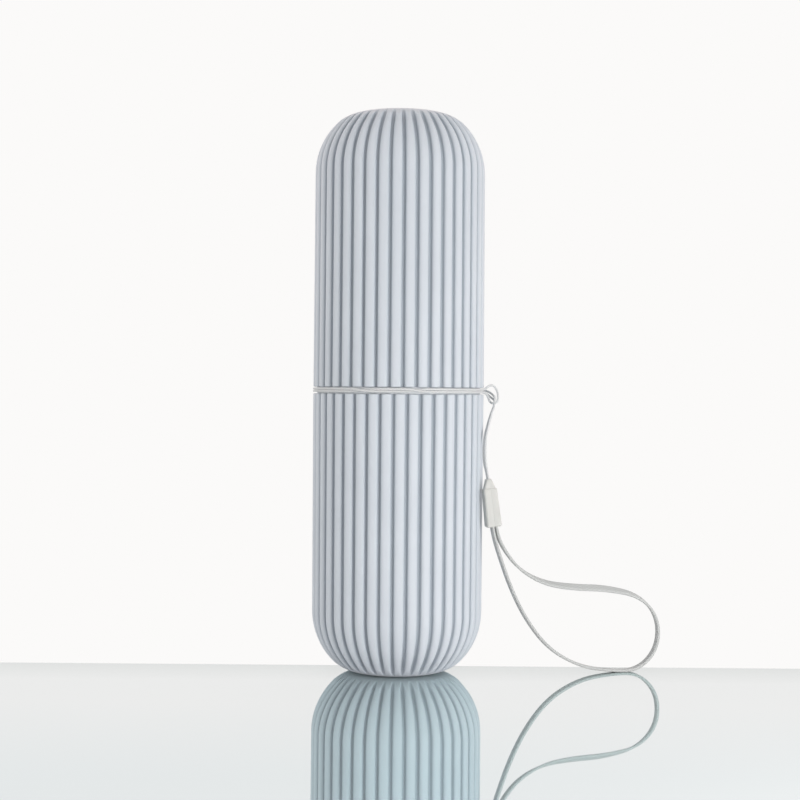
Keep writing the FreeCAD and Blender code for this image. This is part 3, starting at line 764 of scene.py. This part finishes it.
def makeFloor():
    bpy.ops.object.select_all(action="DESELECT")
    bpy.ops.mesh.primitive_plane_add(size=studio["tableSize"])
    table = bpy.context.object
    table.name = "glassTable"
    material, tree = newMaterial("glassOnWhite")
    coords = addNode(tree, "ShaderNodeTexCoord")
    place = addNode(tree, "ShaderNodeSeparateXYZ", links={0: coords.outputs["Object"]})
    ray = addNode(tree, "ShaderNodeLightPath")
    edge = studio["edgeBack"] * mm
    # Painted shade in the reflection: the mirror's colour darkens towards the table's far edge and again
    # towards the camera
    fade = addNode(tree, "ShaderNodeMapRange", {"From Min": edge, "From Max": edge - studio["edgeFade"] * mm},
                   {"Value": place.outputs["Y"]})
    tint = addNode(tree, "ShaderNodeMix",
                   {"data_type": "RGBA", 6: studio["edgeShadeTint"], 7: studio["glassTint"]},
                   {0: fade.outputs["Result"]})
    near = addNode(tree, "ShaderNodeMapRange",
                   {"From Min": -2 * studio["edgeFade"] * mm, "From Max": -studio["nearFade"] * mm},
                   {"Value": place.outputs["Y"]})
    tint = addNode(tree, "ShaderNodeMix", {"data_type": "RGBA", 7: studio["nearShadeTint"]},
                   {0: near.outputs["Result"], 6: tint.outputs[2]})
    paper = addNode(tree, "ShaderNodeBsdfDiffuse", {"Color": linear(studio["sheet"])})
    shine = addNode(tree, "ShaderNodeBsdfGlossy", {"Roughness": studio["shineRough"]},
                    {"Color": tint.outputs[2]})
    share = addNode(tree, "ShaderNodeMath", {"operation": "MULTIPLY", 1: studio["mirror"]},
                    {0: ray.outputs["Is Camera Ray"]})
    glass = addNode(tree, "ShaderNodeMixShader", links={
        0: share.outputs["Value"], 1: paper.outputs["BSDF"], 2: shine.outputs["BSDF"]})
    glow = addNode(tree, "ShaderNodeEmission", {"Color": linear(studio["room"]), "Strength": 1.0})
    behind = addNode(tree, "ShaderNodeMath", {"operation": "GREATER_THAN", 1: edge}, {0: place.outputs["Y"]})
    away = addNode(tree, "ShaderNodeVectorMath", {"operation": "LENGTH"}, {0: coords.outputs["Object"]})
    far = addNode(tree, "ShaderNodeMapRange",
                  {"From Min": studio["plateReach"] * mm, "From Max": studio["plateFade"] * mm},
                  {"Value": away.outputs["Value"]})
    beyond = addNode(tree, "ShaderNodeMath", {"operation": "MAXIMUM"},
                     {0: behind.outputs["Value"], 1: far.outputs["Result"]})
    white = addNode(tree, "ShaderNodeMath", {"operation": "MULTIPLY"},
                    {0: beyond.outputs["Value"], 1: ray.outputs["Is Camera Ray"]})
    both = addNode(tree, "ShaderNodeMixShader", links={
        0: white.outputs["Value"], 1: glass.outputs["Shader"], 2: glow.outputs["Emission"]})
    addNode(tree, "ShaderNodeOutputMaterial", links={"Surface": both.outputs["Shader"]})
    wear(table, material)


def addLamp(name, place, aim, size, power):
    data = bpy.data.lights.new(name, "AREA")
    data.size = size
    data.energy = power
    lamp = bpy.data.objects.new(name, data)
    bpy.context.scene.collection.objects.link(lamp)
    lamp.visible_camera = False
    lamp.visible_glossy = False
    lamp.location = place
    lamp.rotation_euler = (Vector(aim) - Vector(place)).to_track_quat("-Z", "Y").to_euler()


def lightStudio():
    world = bpy.data.worlds.new("whiteRoom")
    bpy.context.scene.world = world
    world.use_nodes = True
    tree = world.node_tree
    tree.nodes.clear()
    ray = addNode(tree, "ShaderNodeLightPath")
    soft = addNode(tree, "ShaderNodeBackground", {"Color": (1, 1, 1, 1), "Strength": studio["fill"]})
    gleam = addNode(tree, "ShaderNodeBackground", {"Color": studio["gleam"], "Strength": 1.0})
    white = addNode(tree, "ShaderNodeBackground", {"Color": linear(studio["room"]), "Strength": 1.0})
    lit = addNode(tree, "ShaderNodeMixShader", links={
        0: ray.outputs["Is Glossy Ray"], 1: soft.outputs["Background"], 2: gleam.outputs["Background"]})
    seen = addNode(tree, "ShaderNodeMixShader", links={
        0: ray.outputs["Is Camera Ray"], 1: lit.outputs["Shader"], 2: white.outputs["Background"]})
    addNode(tree, "ShaderNodeOutputWorld", links={"Surface": seen.outputs["Shader"]})
    for name, settings in lamps.items():
        addLamp(name, **settings)


makeFloor()
lightStudio()
print("studio lit")

for piece, body, slot, nodes in (
    (lowerCup, "base", "case_plastic", ["lower_cup"]),
    (upperCup, "lid", "case_plastic", ["upper_cup"]),
    (neckSleeve, "neck", "neck_plastic", ["neck_sleeve"]),
    (upperSeal, "neck", "seal_silicone", ["upper_seal_ring"]),
    (lowerSeal, "neck", "seal_silicone", ["lower_seal_ring"]),
    (dividerPlate, "divider", "divider_plastic", ["divider"]),
    (cordPiece, "lanyard", "cord_braid", ["lanyard_cord"]),
    (claspInner, "lanyard", "clasp_plastic", ["clasp_inner_half"]),
    (claspOuter, "lanyard", "clasp_plastic", ["clasp_outer_half"]),
    (strapPiece, "lanyard", "strap_webbing", ["wrist_strap"]),
):
    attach(piece, body)
    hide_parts(*nodes)
